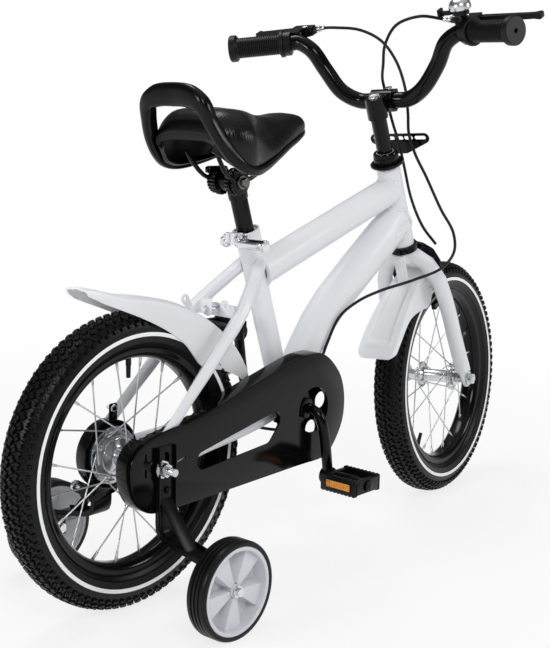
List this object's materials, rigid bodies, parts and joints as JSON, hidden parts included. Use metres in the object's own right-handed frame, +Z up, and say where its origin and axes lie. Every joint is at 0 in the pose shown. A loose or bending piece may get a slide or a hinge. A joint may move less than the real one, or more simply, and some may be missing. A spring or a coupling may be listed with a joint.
{
  "type": "child's bicycle with training wheels",
  "caption": "A white and black child's bicycle with training wheels, mudguards, a chain guard, a saddle with a grab handle and a bell",
  "frame": {"origin": "On the ground under the rear axle, in the middle plane of the frame, where the rear tyre meets the ground.", "axes": "+X points forwards, from the rear axle to the front wheel. +Y points to the rider's left, along the rear axle. +Z points up, away from the ground."},
  "size_m": [1.0169, 0.4559, 0.7356],
  "materials": {
    "black_paint": "Glossy black paint or black coating on steel",
    "black_plastic": "Satin black moulded plastic, lightly grained",
    "black_rubber": "Soft dull black rubber",
    "chrome": "Bright plated steel",
    "grey_plastic": "Light grey moulded plastic of the training wheel hubs",
    "steel": "Plain oiled steel",
    "tyre_rubber": "Dull black tyre rubber with block tread and a thin white sidewall line",
    "vinyl": "Black soft vinyl with a fine dotted grain over foam",
    "white_paint": "Smooth glossy white paint with a faint cool cast over welded steel tube",
    "white_plastic": "Satin white moulded plastic of the mudguards"
  },
  "bodies": {
    "frame": {"head_tube": "white_paint", "seat_tube_and_shell": "white_paint", "down_tube": "white_paint", "top_tube": "white_paint", "chainstay_left": "white_paint", "chainstay_right": "white_paint", "seatstay_left": "white_paint", "seatstay_right": "white_paint", "bottom_bracket_cup_left": "black_paint", "bottom_bracket_cup_right": "black_paint", "headset_lower_cup": "black_paint", "headset_upper_cup": "black_paint", "chain": "steel", "rear_axle": "chrome", "brake_cover": "black_paint", "seat_clamp": "chrome", "rear_mudguard": "white_plastic", "chain_guard": "black_plastic", "training_bracket_left": "black_paint", "training_bracket_right": "black_paint", "rear_brake_cable": "black_plastic"},
    "steering": {"headset_locknut": "black_paint", "front_bracket": "black_paint", "fork": "white_paint", "front_axle": "chrome", "stem": "black_paint", "handlebar": "black_paint", "grip_left": "black_rubber", "grip_right": "black_rubber", "brake_bracket_left": "black_plastic", "brake_bracket_right": "black_plastic", "bell_dome": "chrome", "front_mudguard": "white_plastic", "front_brake_cable": "black_plastic"},
    "front_wheel": {"front_tyre": "tyre_rubber", "front_rim": "black_paint", "front_hub_and_spokes": "chrome"},
    "rear_wheel": {"rear_tyre": "tyre_rubber", "rear_rim": "black_paint", "rear_hub_and_spokes": "chrome"},
    "freewheel": {"freewheel_sprocket": "steel"},
    "crank": {"crank": "black_paint", "chainwheel": "black_paint"},
    "pedal_left": {"pedal_left": "black_plastic"},
    "pedal_right": {"pedal_right": "black_plastic"},
    "training_wheel_left": {"training_tyre_left": "black_plastic", "training_hub_left": "grey_plastic"},
    "training_wheel_right": {"training_tyre_right": "black_plastic", "training_hub_right": "grey_plastic"},
    "brake_lever_left": {"brake_lever_left": "black_plastic"},
    "brake_lever_right": {"brake_lever_right": "black_plastic"},
    "caliper_left": {"caliper_arm_left": "black_paint"},
    "caliper_right": {"caliper_arm_right": "black_paint"},
    "brake_arm": {"brake_arm": "black_paint"},
    "bell_lever": {"bell_thumb_lever": "black_plastic"},
    "saddle": {"seat_post": "black_paint", "saddle_clamp": "black_paint", "saddle_rails": "black_paint", "saddle_base": "black_plastic", "saddle_pad": "vinyl"}
  },
  "joints": [
    {"name": "steering_turn", "type": "hinge", "parent": "frame", "child": "steering", "pos_m": [0.5446, 0, 0.3882], "axis": [-0.3665, 0, 0.9304], "range_deg": [-59, 41], "deforming": ["rear_brake_cable"]},
    {"name": "front_wheel_spin", "type": "hinge", "parent": "steering", "child": "front_wheel", "pos_m": [0.65621, 0.00426, 0.17817], "axis": [-0.1455, 0.9877, -0.0573], "continuous": true},
    {"name": "rear_wheel_spin", "type": "hinge", "parent": "frame", "child": "rear_wheel", "pos_m": [0, 0, 0.178], "axis": [0, 1, 0], "continuous": true},
    {"name": "crank_spin", "type": "hinge", "parent": "frame", "child": "crank", "pos_m": [0.28, 0, 0.1992], "axis": [0, 1, 0], "continuous": true},
    {"name": "freewheel_spin", "type": "hinge", "parent": "frame", "child": "freewheel", "pos_m": [0, -0.036, 0.178], "axis": [0, 1, 0], "continuous": true},
    {"name": "pedal_left_spin", "type": "hinge", "parent": "crank", "child": "pedal_left", "pos_m": [0.26761, 0.108, 0.28733], "axis": [0, 1, 0], "continuous": true},
    {"name": "pedal_right_spin", "type": "hinge", "parent": "crank", "child": "pedal_right", "pos_m": [0.29239, -0.108, 0.11107], "axis": [0, 1, 0], "continuous": true},
    {"name": "training_wheel_left_spin", "type": "hinge", "parent": "frame", "child": "training_wheel_left", "pos_m": [0.01, 0.1575, 0.058], "axis": [0, 1, 0], "continuous": true},
    {"name": "training_wheel_right_spin", "type": "hinge", "parent": "frame", "child": "training_wheel_right", "pos_m": [0.01, -0.1575, 0.058], "axis": [0, 1, 0], "continuous": true},
    {"name": "brake_lever_left_squeeze", "type": "hinge", "parent": "steering", "child": "brake_lever_left", "pos_m": [0.46925, 0.13415, 0.69278], "axis": [-0.3665, 0, 0.9304], "range_deg": [0, 26], "stiffness_Nm_per_rad": 0.4, "springref_deg": -17.19},
    {"name": "brake_lever_right_squeeze", "type": "hinge", "parent": "steering", "child": "brake_lever_right", "pos_m": [0.50593, -0.11475, 0.70723], "axis": [0.3665, 0, -0.9304], "range_deg": [0, 26], "stiffness_Nm_per_rad": 0.4, "springref_deg": -17.19},
    {"name": "caliper_left_squeeze", "type": "hinge", "parent": "steering", "child": "caliper_left", "pos_m": [0.57767, 0.00469, 0.3851], "axis": [-0.919, -0.1564, -0.362], "range_deg": [0, 1.4]},
    {"name": "caliper_right_squeeze", "type": "hinge", "parent": "steering", "child": "caliper_right", "pos_m": [0.57767, 0.00469, 0.3851], "axis": [0.919, 0.1564, 0.362], "range_deg": [0, 1.4]},
    {"name": "brake_arm_pull", "type": "hinge", "parent": "frame", "child": "brake_arm", "pos_m": [-0.012, 0.046, 0.128], "axis": [0, 1, 0], "range_deg": [0, 15]},
    {"name": "bell_lever_flick", "type": "hinge", "parent": "steering", "child": "bell_lever", "pos_m": [0.46931, -0.11026, 0.71537], "axis": [-0.3665, 0, 0.9304], "range_deg": [-25, 0], "stiffness_Nm_per_rad": 0.02, "springref_deg": 17.19},
    {"name": "seat_post_slide", "type": "slide", "parent": "frame", "child": "saddle", "axis": [-0.3256, 0, 0.9455], "range_m": [-0.024, 0.04]}
  ],
  "couplings": [
    {"joint": "freewheel_spin", "follows": "crank_spin", "ratio": 1.75},
    {"joint": "caliper_left_squeeze", "follows": "brake_lever_right_squeeze", "ratio": 0.05},
    {"joint": "caliper_right_squeeze", "follows": "brake_lever_right_squeeze", "ratio": 0.05},
    {"joint": "brake_arm_pull", "follows": "brake_lever_left_squeeze", "ratio": 0.5}
  ]
}
